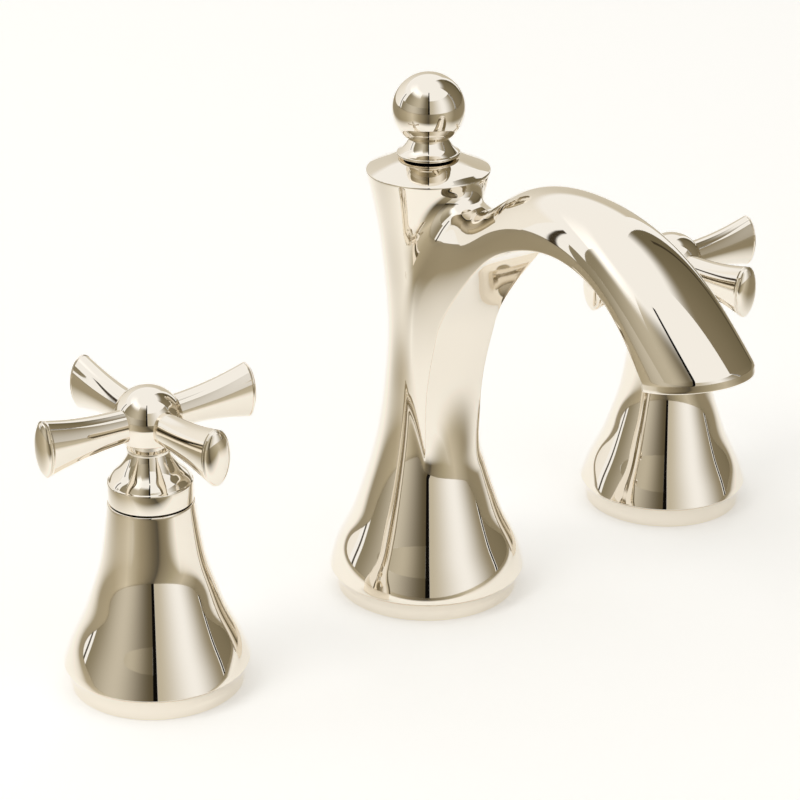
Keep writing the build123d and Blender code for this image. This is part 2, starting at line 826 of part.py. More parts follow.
with BuildPart() as aerator_insert:
    with BuildSketch(mouth_plane(aerator_sink + aerator_lip)):
        Circle(insert_r)
    extrude(amount=-aerator_plate_h)
    with BuildSketch(mouth_plane(aerator_sink + aerator_lip + aerator_plate_h)):
        Circle(insert_r)
        Circle(insert_r - aerator_wall, mode=Mode.SUBTRACT)
    extrude(amount=aerator_sink + aerator_lip + aerator_plate_h - housing_high)
    with BuildSketch(mouth_plane(aerator_sink + aerator_lip)):
        Circle(aerator_hole_r)
        for radius_share, count in aerator_rings:
            with PolarLocations(insert_r * radius_share, count):
                Circle(aerator_hole_r)
    extrude(amount=-aerator_plate_h, mode=Mode.SUBTRACT)
export(aerator_insert, "aerator_insert")

with BuildPart() as aerator_washer:
    with BuildSketch(mouth_plane(housing_high)):
        Circle(aerator_r)
        Circle(aerator_washer_bore_r, mode=Mode.SUBTRACT)
    extrude(amount=-aerator_washer_h)
export(aerator_washer, "aerator_washer")


def deck_clamp(x, prefix, shaft_r):
    """Rubber washer, metal washer and nut on a shank, under the deck."""
    washer_low_z = -deck_thickness - washer_h
    metal_low_z = washer_low_z - metal_washer_h
    bore_r = shaft_r + thread_gap
    export(ring(x, 0, washer_low_z, -deck_thickness, washer_r, bore_r), prefix + "rubber_washer")
    export(ring(x, 0, metal_low_z, washer_low_z, washer_r, bore_r), prefix + "metal_washer")
    nut = hex_nut(x, metal_low_z - mounting_nut_h, metal_low_z, mounting_nut_corner_r, bore_r)
    export(nut, prefix + "mounting_nut")


deck_clamp(0, "spout_", spout_shank_r)

for prefix, x in (("left_", -handle_spacing / 2), ("right_", handle_spacing / 2)):
    export(escutcheon(x), prefix + "escutcheon")
    gasket_outer_r = plinth_r - bell_wall
    export(ring(x, 0, 0, gasket_h, gasket_outer_r, gasket_outer_r - gasket_w), prefix + "escutcheon_gasket")
    export(cross_handle(x), prefix + "cross_handle")
    export(handle_skirt(x), prefix + "handle_skirt")
    export(handle_adapter(x), prefix + "handle_adapter")
    export(set_screw(x), prefix + "set_screw")
    export(cartridge_stem(x), prefix + "cartridge_stem")
    export(stem_o_ring(x), prefix + "stem_o_ring")
    export(moving_disc(x), prefix + "moving_disc")
    export(ported_disc(x, disc_low_z, disc_h, disc_r), prefix + "fixed_disc")
    export(ported_disc(x, chamber_low_z, seal_h, disc_r), prefix + "seat_seal")
    export(cartridge_body(x), prefix + "cartridge_body")
    export(bonnet_nut(x), prefix + "bonnet_nut")
    export(valve_body(x), prefix + "valve_body")
    export(hex_nut(x, 0, locknut_h, locknut_corner_r, shank_r + thread_gap), prefix + "top_locknut")
    deck_clamp(x, prefix, shank_r)
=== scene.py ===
import json
from math import cos, pi, radians, sin, sqrt

import bmesh
import bpy
import numpy as np
from mathutils import Matrix, Vector
from mathutils.bvhtree import BVHTree


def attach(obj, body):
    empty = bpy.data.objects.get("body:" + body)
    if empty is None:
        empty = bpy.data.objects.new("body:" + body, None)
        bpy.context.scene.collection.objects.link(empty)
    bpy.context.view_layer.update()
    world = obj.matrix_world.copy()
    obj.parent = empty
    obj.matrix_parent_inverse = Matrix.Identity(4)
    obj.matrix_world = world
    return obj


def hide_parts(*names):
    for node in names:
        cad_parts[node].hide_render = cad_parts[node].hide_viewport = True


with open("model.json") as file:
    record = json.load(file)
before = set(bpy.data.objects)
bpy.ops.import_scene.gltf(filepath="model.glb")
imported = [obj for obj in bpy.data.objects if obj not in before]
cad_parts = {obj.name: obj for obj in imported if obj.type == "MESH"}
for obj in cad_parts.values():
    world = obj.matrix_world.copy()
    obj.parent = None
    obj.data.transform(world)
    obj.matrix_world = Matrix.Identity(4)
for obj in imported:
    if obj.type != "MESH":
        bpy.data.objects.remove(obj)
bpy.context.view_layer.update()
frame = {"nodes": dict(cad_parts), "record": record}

# %% [markdown]
# A widespread bathroom faucet in polished nickel has no grain and no pattern: all that the eye sees is the
# outline of each piece and the room that it mirrors. So this lesson spends its effort on two things. The
# first is surfaces whose normals are exact, because a mirror shows every facet. The second is a white room
# with brown walls and a few narrow dark flags for the metal to reflect.
#
# The camera comes first. A circle that is seen from above is an ellipse, and how flat the three plinths look
# tells how high the camera stands. The spacing of the two handles, which is a standard one, tells how far.

# %% Sizes and the camera
MM = 0.001
handle_x = 101.6
azimuth = radians(-38.23)
elevation = radians(23.5)
camera_place = Vector((-481.5, -597.6, 395.6)) * MM
lens_mm, sensor_mm = 122.45, 36.0

to_camera = Vector((sin(azimuth) * cos(elevation), -cos(azimuth) * cos(elevation), sin(elevation)))
to_right = Vector((cos(azimuth), sin(azimuth), 0))
to_top = to_camera.cross(to_right)
camera_data = bpy.data.cameras.new("camera")
camera_data.lens = lens_mm
camera_data.sensor_width = sensor_mm
camera_data.clip_start = 0.01
camera = bpy.data.objects.new("camera", camera_data)
bpy.context.scene.collection.objects.link(camera)
camera.matrix_world = Matrix((
    (to_right.x, to_top.x, to_camera.x, camera_place.x),
    (to_right.y, to_top.y, to_camera.y, camera_place.y),
    (to_right.z, to_top.z, to_camera.z, camera_place.z),
    (0, 0, 0, 1),
))
bpy.context.scene.camera = camera
bpy.context.scene.view_settings.view_transform = "Standard"
print("camera:", round(camera_place.length / MM), "mm from the foot of the column")

# %% [markdown]
# The bells, skirts, column and knob are turned pieces, so each is one outline spun round an upright axis. The
# outline runs through a few measured radii along a natural cubic curve, which is the line that a
# draughtsman's bent spline takes. Sharp corners get a small arc, because a polished rim always ends in a fine
# bright line of light, and a mathematically sharp one has none.


# %% Curves
def natural_curve(knots, values, at):
    """The natural cubic curve through values that stand at knots, read at other places along it."""
    gaps = np.diff(knots)
    last = len(gaps)
    matrix = np.eye(last + 1)
    right = np.zeros(values.shape)
    for i in range(1, last):
        before, after = gaps[i - 1], gaps[i]
        matrix[i, i - 1:i + 2] = before, 2 * (before + after), after
        right[i] = 6 * ((values[i + 1] - values[i]) / after - (values[i] - values[i - 1]) / before)
    bend = np.linalg.solve(matrix, right)
    span = np.clip(np.searchsorted(knots, at, side="right") - 1, 0, last - 1)
    gap = gaps[span][:, None]
    to_next = (knots[span + 1] - at)[:, None]
    from_last = (at - knots[span])[:, None]
    curve = (bend[span] * to_next**3 + bend[span + 1] * from_last**3) / (6 * gap)
    curve += (values[span] / gap - bend[span] * gap / 6) * to_next
    curve += (values[span + 1] / gap - bend[span + 1] * gap / 6) * from_last
    return curve


def chord_knots(points):
    """The distance from the first point to each, measured from point to point."""
    return np.r_[0, np.cumsum(np.linalg.norm(np.diff(points, axis=0), axis=1))]


def spline(points, count):
    """Points along the natural cubic curve through the given points."""
    points = np.array(points, float)
    knots = chord_knots(points)
    return [tuple(point) for point in natural_curve(knots, points, np.linspace(0, knots[-1], count))]


def bow(start, control, end, steps):
    """Points along the curve that leaves its start toward a control point and turns to its end."""
    points = []
    for i in range(steps + 1):
        t = i / steps
        points.append(tuple(start * (1 - t) ** 2 + control * 2 * t * (1 - t) + end * t**2))
    return points


def rounded(before, corner, after, radius, steps=5):
    """A small arc in place of a sharp corner between two neighbouring points."""
    corner = Vector(corner)
    back, ahead = Vector(before) - corner, Vector(after) - corner
    half_angle = back.angle(ahead) / 2
    reach = radius * cos(half_angle) / max(sin(half_angle), 0.05)
    reach = min(reach, back.length * 0.45, ahead.length * 0.45)
    return bow(corner + back.normalized() * reach, corner, corner + ahead.normalized() * reach, steps)


def flare(low, high, shares, samples=56):
    """The curve from a wide foot to a narrow top, through shares of the height and of the flare."""
    (low_r, low_z), (high_r, high_z) = low, high
    middle = [(high_r + (low_r - high_r) * r, low_z + (high_z - low_z) * z) for z, r in shares]
    return spline([low] + middle + [high], samples)


# %% [markdown]
# Blender's Spin tool could turn an outline too. Here each ring of points is made directly, because the same
# two helpers, one for a ring and one for the faces between two rings, also serve the lofted pieces later.


# %% Turning an outline
def new_object(name, mesh):
    piece = bpy.data.objects.new(name, mesh)
    bpy.context.scene.collection.objects.link(piece)
    return piece


def smooth(mesh, angle=32):
    """Smooth shading, with edges kept crisp where the faces turn by more than the angle."""
    mesh.polygons.foreach_set("use_smooth", [True] * len(mesh.polygons))
    mesh.set_sharp_from_angle(angle=radians(angle))


def ring(shape, radius, height, turns):
    """A ring of points round the Z axis, or one point where the outline meets the axis."""
    if radius < 1e-6:
        return [shape.verts.new((0, 0, height * MM))]
    angles = [2 * pi * k / turns for k in range(turns)]
    return [shape.verts.new((radius * cos(a) * MM, radius * sin(a) * MM, height * MM)) for a in angles]


def bridge(shape, lower, upper):
    """Faces between two rings of points, either of which may be a single point."""
    for k in range(max(len(lower), len(upper))):
        corners = [lower[k % len(lower)], lower[(k + 1) % len(lower)]]
        corners += [upper[(k + 1) % len(upper)], upper[k % len(upper)]]
        corners = list(dict.fromkeys(corners))
        if len(corners) > 2:
            shape.faces.new(corners)


def as_mesh(shape, name):
    """A mesh from a shape that is ready, with its faces turned outward."""
    bmesh.ops.recalc_face_normals(shape, faces=shape.faces)
    mesh = bpy.data.meshes.new(name)
    shape.to_mesh(mesh)
    shape.free()
    return mesh


def lathe(outline, turns=160):
    """A closed mesh from an outline of radius and height, in mm, spun round the Z axis."""
    shape = bmesh.new()
    rings = [ring(shape, radius, height, turns) for radius, height in outline]
    for lower, upper in zip(rings, rings[1:] + rings[:1]):
        bridge(shape, lower, upper)
    return as_mesh(shape, "lathe")


def placed(name, mesh, x):
    """A finished piece on the upright axis at x, with its place in its mesh and its object at the origin."""
    copy = mesh.copy()
    copy.transform(Matrix.Translation((x * MM, 0, 0)))
    smooth(copy)
    return new_object(name, copy)


def on_both_sides(name, mesh):
    """The same piece on the hot and on the cold valve."""
    sides = (("left", -handle_x), ("right", handle_x))
    return {side: placed(side + "_" + name, mesh, x) for side, x in sides}


# %% [markdown]
# The bell, or escutcheon, hides the valve on the deck. On the real faucet it is spun or cast brass: a thin
# shell on a narrow plinth. A hollow runs up from the plinth to a crisp ridge, and from there the bell sweeps
# in to the handle. Its curve was read from the photo's outline as shares of its height and of its flare, so
# it keeps its character if the bell gets another size. The inside is spun too, since a shell has one.

# %% Bells
plinth_z, plinth_chamfer = 3.4, 0.25
plinth_arc, ridge_arc = 0.35, 0.45
hollow_bend = 0.35  # the hollow's middle, from its inner corner, as a share of its width and height


def foot(inner_r, plinth_r, curve):
    """The outline from the inner edge of a foot, up the plinth and the hollow, and along the curve."""
    start, ridge = Vector((plinth_r, plinth_z)), Vector(curve[0])
    across, up = ridge - start
    middle = Vector((start.x + across * hollow_bend, ridge.y - up * hollow_bend))
    hollow_line = bow(start, middle * 2 - (start + ridge) / 2, ridge, 9)
    outline = [(inner_r, 0), (plinth_r - plinth_chamfer, 0), (plinth_r, plinth_chamfer)]
    outline += rounded((plinth_r, plinth_chamfer), (plinth_r, plinth_z), hollow_line[3], plinth_arc)
    outline += hollow_line[2:-1]
    outline += rounded(hollow_line[-2], curve[0], curve[2], ridge_arc, 7)
    return outline + curve[2:-1]


bell_ridge = (27.45, 7.2)
bell_top = (12.6, 58.2)
bell_plinth_r, bell_wall = 25.55, 1.6
bell_bore_r, bell_pocket_r, below_ceiling = 9.0, 11.0, 0.2
bell_shares = ((0.13, 0.835), (0.29, 0.576), (0.45, 0.377), (0.60, 0.215), (0.76, 0.108))
bell_curve = flare(bell_ridge, bell_top, bell_shares)
bell_ceiling = bell_top[1] - bell_wall
bell_inside = [(r - bell_wall, z) for r, z in bell_curve if z < bell_ceiling - below_ceiling]
bell_outline = foot(bell_plinth_r - bell_wall, bell_plinth_r, bell_curve)
bell_outline += rounded(bell_curve[-2], bell_top, (bell_bore_r, bell_top[1]), ridge_arc)
bell_outline += [(bell_bore_r, bell_top[1]), (bell_bore_r, bell_ceiling), (bell_pocket_r, bell_ceiling)]
bell_outline += bell_inside[::-1] + [(bell_plinth_r - bell_wall, plinth_z)]
bell_mesh = lathe(bell_outline)
bells = on_both_sides("bell", bell_mesh)
print("bell:", len(bell_mesh.polygons), "faces,", 2 * bell_ridge[0], "mm across its ridge")

# %% [markdown]
# The skirt joins the handle to the bell, and turns with the handle. It has a plain band at its foot, a gap of
# half a millimetre above the bell, a shoulder that sweeps in, and a bead under the hub. It is turned like the
# bell. The gap matters to the eye: it draws the thin dark line between the two.

# %% Skirts
band_r, band_inner_r, band_z = 12.4, 10.8, 58.65
shoulder, skirt_neck = (12.0, 64.9), (6.0, 74.0)
bead_r, bead_z, skirt_bore_r = 6.4, 75.0, 4.4
band_arc, bead_low_arc, bead_top_arc = 0.3, 0.12, 0.25
band_edge = [(band_r, 64.35), (band_r - 0.07, 64.62), (band_r - 0.25, 64.82)]
funnel_top_z, funnel_low_z = 70.3, 63.3
skirt_shares = ((0.176, 0.82), (0.363, 0.54), (0.593, 0.27), (0.824, 0.085))
skirt_curve = flare(shoulder, skirt_neck, skirt_shares, 40)
skirt_outline = [(band_inner_r, band_z)]
skirt_outline += rounded((band_inner_r, band_z), (band_r, band_z), (band_r, shoulder[1]), band_arc)
skirt_outline += band_edge + skirt_curve[:-1] + [skirt_neck]
skirt_outline += rounded(skirt_neck, (bead_r, skirt_neck[1]), (bead_r, bead_z), bead_low_arc)
skirt_outline += rounded((bead_r, skirt_neck[1]), (bead_r, bead_z), (skirt_bore_r, bead_z), bead_top_arc)
skirt_outline += [(skirt_bore_r, bead_z), (skirt_bore_r, funnel_top_z), (band_inner_r, funnel_low_z)]
skirt_mesh = lathe(skirt_outline)
skirts = on_both_sides("skirt", skirt_mesh)
print("skirt:", len(skirt_mesh.polygons), "faces,", round(band_z - bell_top[1], 2), "mm above the bell")

# %% [markdown]
# The knob tops the lift rod that opens the drain. It is a ball on a flared collar, turned from one bar. The
# ball starts exactly where the collar's cone is as wide as the ball's own circle at that height, so the neck
# has no step. It rests a fraction of a millimetre above the column, and rises with the rod.

# %% Knob
collar_r, collar_z, rim_r = 9.0, 141.35, 0.5
neck_r, ball_r, ball_z = 5.8, 10.87, 155.4
rod_r, socket_z = 2.4, 152.0
neck_z = ball_z - sqrt(ball_r**2 - neck_r**2)
rim_angles = [radians(angle) for angle in range(0, 181, 20)]
rim = [(collar_r + rim_r * sin(a), collar_z + rim_r - rim_r * cos(a)) for a in rim_angles]
cone_middle = [(7.6, 143.5), (6.4, 145.2)]
cone = spline([(collar_r, collar_z + 2 * rim_r)] + cone_middle + [(neck_r, neck_z)], 18)
ball_angles = np.linspace(np.arctan2(neck_z - ball_z, neck_r), pi / 2, 70)
ball = [(ball_r * cos(a), ball_z + ball_r * sin(a)) for a in ball_angles]
ball[-1] = (0.0, ball_z + ball_r)
knob_mesh = lathe([(rod_r, collar_z)] + rim + cone[1:-1] + ball + [(0.0, socket_z), (rod_r, socket_z)])
knob = placed("knob", knob_mesh, 0)
print("knob:", len(knob_mesh.polygons), "faces, its top at", round(ball_z + ball_r, 2), "mm")

# %% [markdown]
# Polished nickel is nickel plate over brass, buffed to a mirror. Nickel is a warm metal: it gives back nearly
# all the red light, and loses a little of the blue. The roughness is what the buffing wheel leaves, so small
# that edges of reflections stay sharp. It wanders a little from place to place, as hand polishing does.
#
# Each finish is one small tree: a noise in the piece's own coordinates moves the roughness between two
# values. The patches have a real size in millimetres, from the tool that made the surface.


# %% Finishes
def add_node(tree, kind, settings=None):
    """Adds a node, and sets or links what the settings name: a property, an input or a numbered input.

    Another node's output is linked, a whole node stands for its first output, and any other value is set.
    """
    node = tree.nodes.new(kind)
    for key, value in (settings or {}).items():
        if isinstance(value, bpy.types.Node):
            value = value.outputs[0]
        if isinstance(value, bpy.types.NodeSocket):
            tree.links.new(value, node.inputs[key])
        elif isinstance(key, int) or key in node.inputs.keys():
            node.inputs[key].default_value = value
        else:
            setattr(node, key, value)
    return node


def linear(hex_colour):
    """An sRGB hex colour as linear red, green, blue and alpha."""
    channels = [int(hex_colour[i:i + 2], 16) / 255 for i in (1, 3, 5)]
    return [c / 12.92 if c <= 0.04045 else ((c + 0.055) / 1.055) ** 2.4 for c in channels] + [1.0]


def finish(name, colour, roughness, patch_mm, metallic=1.0, ior=None):
    """A material whose roughness wanders between two values, over patches of a real size."""
    material = bpy.data.materials.new(name)
    material.use_nodes = True
    tree = material.node_tree
    shader = tree.nodes["Principled BSDF"]
    shader.inputs["Base Color"].default_value = linear(colour)
    shader.inputs["Metallic"].default_value = metallic
    shader.inputs["Roughness"].default_value = sum(roughness) / 2
    if ior:
        shader.inputs["IOR"].default_value = ior
    place = add_node(tree, "ShaderNodeTexCoord").outputs["Object"]
    patches = {"Scale": 1 / (patch_mm * MM), "Detail": 3.0, "Vector": place}
    patches = add_node(tree, "ShaderNodeTexNoise", patches)
    wander = {"To Min": roughness[0], "To Max": roughness[1], "Value": patches}
    tree.links.new(add_node(tree, "ShaderNodeMapRange", wander).outputs[0], shader.inputs["Roughness"])
    return material


finishes = {
    # Buffed plate: a clear warm mirror, a touch softer where the wheel has passed less often.
    "polished_nickel": finish("polished_nickel", "#f3ece0", (0.022, 0.045), 11),
    # Brass turned on a lathe: yellow and half dull, with a broad highlight.
    "brass": finish("machined_brass", "#c9a765", (0.22, 0.38), 2.5),
    # Zinc plate on pressed steel: a cold, cloudy grey.
    "steel": finish("zinc_plated_steel", "#a9abad", (0.28, 0.45), 2),
    # Stainless steel drawn through a die: bright, with a long soft highlight.
    "stainless": finish("drawn_stainless_steel", "#c2c1bd", (0.2, 0.32), 3.3),
    # Copper tube as drawn: salmon pink, slightly patchy from the draw oil.
    "copper": finish("drawn_copper", "#c98a66", (0.2, 0.36), 5),
    # Moulded rubber: nearly black, with no clear highlight.
    "rubber": finish("moulded_rubber", "#17171a", (0.55, 0.75), 1.2, metallic=0.0, ior=1.52),
    # Alumina discs lapped flat: off-white and glossy, like fine china.
    "ceramic": finish("lapped_ceramic", "#eeece6", (0.15, 0.26), 1.7, metallic=0.0, ior=1.76),
    # Moulded acetal, a slippery plastic: an eggshell sheen from the mould's wall, dark or pale.
    "dark_plastic": finish("moulded_dark_acetal", "#26272b", (0.38, 0.55), 1.4, metallic=0.0, ior=1.48),
    "light_plastic": finish("moulded_pale_acetal", "#d8d6d0", (0.33, 0.5), 1.4, metallic=0.0, ior=1.48),
}
nickel = finishes["polished_nickel"]
for entry in frame["record"]["subparts"]:
    node = frame["nodes"][entry["node"]]
    node.material_slots[0].material = finishes[entry["material_slot"]]

# %% [markdown]
# Each handle is a domed hub with four arms, cast in one. An arm is an oval trumpet: it starts narrow at the
# hub, flares to its rim, and ends in a shallow dome. It can't be turned, since an oval has two widths, so it
# is lofted: a row of ovals from the hub to the rim, with faces between neighbours.


# %% Arms
arm_reaches = [(7.0, 0.0), (15.94, 0.14), (25.16, 0.47), (34.1, 1.0)]
root_half_h, root_half_w = 4.8, 4.2
flare_h, flare_w = 3.7, 0.4
rim_round, rim_length, dome_rise = 0.45, 0.55, 2.0
rim_steps, dome_steps = 6, 15


def arm_sections():
    """Half height, half width and reach of one arm's ovals: inside the hub, to the rim, over the dome."""
    flared = spline(arm_reaches, 34)
    sections = [(root_half_h + flare_h * f, root_half_w + flare_w * f, x) for x, f in flared]
    half_h, half_w, reach = sections.pop()
    for i in range(1, rim_steps + 1):
        turn = i / rim_steps * pi / 2
        inset = rim_round * (1 - sin(turn))
        back = rim_length * cos(turn)
        sections.append((half_h - inset, half_w - inset, reach - back))
    dome_h, dome_w = half_h - rim_round, half_w - rim_round
    for i in range(1, dome_steps + 1):
        turn = i / dome_steps * pi / 2
        sections.append((dome_h * cos(turn), dome_w * cos(turn), reach + dome_rise * sin(turn)))
    return sections


def oval(shape, half_h, half_w, reach, turns):
    """A ring of points round the X axis, or one point at the tip of the dome."""
    if half_h < 0.01:
        return [shape.verts.new((reach * MM, 0, 0))]
    angles = [2 * pi * k / turns for k in range(turns)]
    return [shape.verts.new((reach * MM, half_w * cos(a) * MM, half_h * sin(a) * MM)) for a in angles]


def arm_mesh(turns=72):
    """One arm along the X axis, closed at its root and rounded at its tip."""
    shape = bmesh.new()
    rings = [oval(shape, half_h, half_w, reach, turns) for half_h, half_w, reach in arm_sections()]
    shape.faces.new(rings[0])
    for lower, upper in zip(rings, rings[1:]):
        bridge(shape, lower, upper)
    mesh = as_mesh(shape, "arm")
    smooth(mesh)
    return mesh


# %% [markdown]
# The four arms are alike and a quarter turn apart, so Geometry Nodes sets one arm round the hub. The tree
# gets a point for each copy, turns each copy by its number, and lifts all of them to the hub's middle. The
# copies are realized, because the export drops instances, and the result is read back as a plain mesh.


# %% A ring of copies
def ring_tree(name, material):
    """A node tree that sets copies of the incoming piece round the Z axis, at a height."""
    tree = bpy.data.node_groups.new(name, "GeometryNodeTree")
    tree.interface.new_socket("Piece", in_out="INPUT", socket_type="NodeSocketGeometry")
    tree.interface.new_socket("Count", in_out="INPUT", socket_type="NodeSocketInt")
    tree.interface.new_socket("Height", in_out="INPUT", socket_type="NodeSocketFloat")
    tree.interface.new_socket("Result", in_out="OUTPUT", socket_type="NodeSocketGeometry")
    source = add_node(tree, "NodeGroupInput").outputs
    points = add_node(tree, "GeometryNodePoints", {"Count": source["Count"]})
    index = add_node(tree, "GeometryNodeInputIndex")
    turn = add_node(tree, "ShaderNodeMath", {"operation": "DIVIDE", 0: 2 * pi, 1: source["Count"]})
    angle = add_node(tree, "ShaderNodeMath", {"operation": "MULTIPLY", 0: index, 1: turn})
    rotation = add_node(tree, "ShaderNodeCombineXYZ", {"Z": angle})
    copies = {"Points": points, "Instance": source["Piece"], "Rotation": rotation}
    copies = add_node(tree, "GeometryNodeInstanceOnPoints", copies)
    real = add_node(tree, "GeometryNodeRealizeInstances", {0: copies})
    lift = add_node(tree, "ShaderNodeCombineXYZ", {"Z": source["Height"]})
    moved = add_node(tree, "GeometryNodeTransform", {0: real, "Translation": lift})
    coated = add_node(tree, "GeometryNodeSetMaterial", {0: moved, "Material": material})
    add_node(tree, "NodeGroupOutput", {0: coated})
    return tree


def grown(mesh, tree, **inputs):
    """The plain mesh that a node tree makes from a starting mesh, with the named inputs set."""
    seed = new_object("seed", mesh)
    modifier = seed.modifiers.new("grow", "NODES")
    modifier.node_group = tree
    for item in tree.interface.items_tree:
        if item.in_out == "INPUT" and item.name in inputs:
            modifier[item.identifier] = inputs[item.name]
    seed.update_tag()
    bpy.context.view_layer.update()
    evaluated = seed.evaluated_get(bpy.context.evaluated_depsgraph_get())
    result = bpy.data.meshes.new_from_object(evaluated)
    bpy.data.objects.remove(seed)
    return result


# %% [markdown]
# The hub is turned: a short foot on the skirt's bead, a cone that opens upward, and half a ball on top. The
# arms start inside it, so no seam between the two shows a gap.

# %% Handles
hub_r, hub_z = 10.0, 83.5
hub_foot_r, hub_foot_z, cone_r, cone_arc = 5.3, 77.6, 8.0, 0.4
hub_dome = [(hub_r * cos(a), hub_z + hub_r * sin(a)) for a in np.linspace(0, pi / 2, 44)]
hub_dome[-1] = (0.0, hub_z + hub_r)
hub_cone = spline([(8.12, 78.0), (8.85, 80.0), (9.55, 81.8), (hub_r, hub_z)], 14)
hub_outline = [(0, bead_z), (hub_foot_r, bead_z), (hub_foot_r, hub_foot_z)]
hub_outline += rounded((hub_foot_r, hub_foot_z), (cone_r, hub_foot_z), (hub_r, hub_z), cone_arc)
hub_outline += hub_cone[1:-1] + hub_dome
hub_mesh = lathe(hub_outline, 128)
arms = grown(arm_mesh(), ring_tree("ring_of_arms", nickel), Count=4, Height=hub_z * MM)
shape = bmesh.new()
shape.from_mesh(hub_mesh)
shape.from_mesh(arms)
handle_mesh = as_mesh(shape, "handle")
handles = on_both_sides("handle", handle_mesh)
print("handle:", len(handle_mesh.polygons), "faces,", 2 * (arm_reaches[-1][0] + dome_rise), "mm across")

# %% [markdown]
# The spout is one casting: a flared column with an arch that grows out of its front. This is the column, and
# it is turned, like the bells. Most of its flare happens in the lowest third, its waist is above the middle,
# and the top opens only a little. The top face is a shallow cone that sheds water.

# %% Column
column_ridge = (30.5, 6.8)
waist_r, waist_share = 12.15, 0.609
column_top = (18.6, 136.9)
column_plinth_r, column_inner_r = 28.2, 24.0
crown_r, crown_z, crown_arc = 9.0, 140.9, 0.5
crown_slope = [(16.0, 138.1), (12.5, 139.5)]
rod_bore_r, rod_bore_z = 4.2, 128.0
shank_r, shank_z, foot_pocket_z = 14.15, 13.96, 5.0
low_shares = ((0.055, 0.89), (0.117, 0.678), (0.178, 0.515), (0.255, 0.343), (0.363, 0.161), (0.486, 0.052))
high_shares = ((0.732, 0.132), (0.855, 0.42))


def column_point(z_share, r_share, wide_r):
    """A point on the column, from its shares of the height and of the flare toward a wider end."""
    (_, low_z), (_, high_z) = column_ridge, column_top
    return waist_r + (wide_r - waist_r) * r_share, low_z + (high_z - low_z) * z_share


column_points = [column_ridge] + [column_point(z, r, column_ridge[0]) for z, r in low_shares]
column_points += [column_point(waist_share, 0, waist_r)]
column_points += [column_point(z, r, column_top[0]) for z, r in high_shares] + [column_top]
column_curve = spline(column_points, 130)
column_outline = foot(column_inner_r, column_plinth_r, column_curve)
column_outline += rounded(column_curve[-2], column_top, (crown_r, crown_z), crown_arc, 6)
column_outline += crown_slope + [(crown_r, crown_z), (rod_bore_r, crown_z)]
column_outline += [(rod_bore_r, rod_bore_z), (0, rod_bore_z), (0, shank_z), (shank_r, shank_z)]
column_outline += [(shank_r, foot_pocket_z), (column_inner_r, foot_pocket_z)]
column_mesh = lathe(column_outline, 180)
print("column:", len(column_mesh.polygons), "faces, waist", 2 * waist_r, "mm")

# %% [markdown]
# The arch is lofted through eleven stations. Each has two crisp lower corners, a gently bellied underside,
# and a back that is nearly square where it leaves the column and round at the mouth. A station says where its
# lower corners and its crown are, as shares of the spout's reach and height, how wide it is, how far the
# belly sags and the flanks lean, and how square it is. Every one of these values then runs along its own
# natural curve, so 170 sections follow without a kink that the mirror would show.

# %% Arch
arch_reach, arch_height, mouth_half_w = 130.3, 147.0, 17.6
stations = (
    ((0.0936, 0.2585), (-0.0150, 0.3270), 0.590, 0.340, 0.02, 4.0),
    ((0.0944, 0.3537), (-0.0230, 0.4490), 0.602, 0.312, 0.06, 4.0),
    ((0.1036, 0.4898), (-0.0150, 0.6120), 0.622, 0.057, 0.10, 4.0),
    ((0.1351, 0.6020), (0.0000, 0.7620), 0.648, 0.017, 0.12, 4.0),
    ((0.1888, 0.6993), (0.1350, 0.8910), 0.668, 0.017, 0.10, 3.2),
    ((0.2717, 0.7912), (0.2000, 0.8905), 0.690, 0.017, 0.04, 2.6),
    ((0.3876, 0.8687), (0.3340, 0.9633), 0.727, 0.017, 0.00, 2.3),
    ((0.5449, 0.9054), (0.5411, 1.0000), 0.801, 0.028, 0.00, 2.2),
    ((0.7022, 0.8782), (0.7368, 0.9497), 0.892, 0.051, 0.00, 2.1),
    ((0.8028, 0.8129), (0.8849, 0.8605), 0.960, 0.102, 0.00, 2.0),
    ((0.8649, 0.7476), (1.0000, 0.7680), 1.000, 0.170, 0.00, 2.0),
)
section_count, least_belly, arch_corner_r = 170, 0.15, 0.45


def station_row(edge, crown, width, belly, lean, power):
    """One station in mm: the edge's and crown's places, half width, belly and lean, and its squareness."""
    places = (-edge[0] * arch_reach, edge[1] * arch_height, -crown[0] * arch_reach, crown[1] * arch_height)
    return (*places, width * mouth_half_w, belly * mouth_half_w, lean * mouth_half_w, power)


def arch_section(row):
    """One section's points in 3-D, from beside the crown down one flank, along the underside and up to it."""
    edge, crown = Vector((0, row[0], row[1])), Vector((0, row[2], row[3]))
    width, belly, lean, power = row[4:]
    rise = (crown - edge).length
    up = (crown - edge).normalized()
    shares = list(np.linspace(0.03, 0.45, 9))
    shares += [sin(a) ** (2 / power) for a in np.linspace(0.5, pi / 2, 26)]
    flank = [((width + lean * s) * sqrt(max(0.0, 1 - s**power)), rise * s) for s in shares]
    flank[-1] = (0.0, rise)
    under_r = (width**2 + belly**2) / (2 * belly)
    spread = 2 * np.arctan2(belly, width)
    under = [(under_r * sin(a), under_r * (cos(spread) - cos(a))) for a in np.linspace(spread, 0, 16)]
    half = under[:1:-1] + rounded(under[1], (width, 0), flank[0], arch_corner_r, 4) + flank
    whole = [(-across, up_by) for across, up_by in half[-2:0:-1]] + half
    return [edge + Vector((across, 0, 0)) + up * up_by for across, up_by in whole]


rows = np.array([station_row(*station) for station in stations])
steps = chord_knots((rows[:, 0:2] + rows[:, 2:4]) / 2)
fine_rows = natural_curve(steps, rows, np.linspace(0, steps[-1], section_count))
fine_rows[:, 5] = np.maximum(fine_rows[:, 5], least_belly)
sections = [arch_section(row) for row in fine_rows]
print("arch:", len(sections), "sections over", round(steps[-1]), "mm")

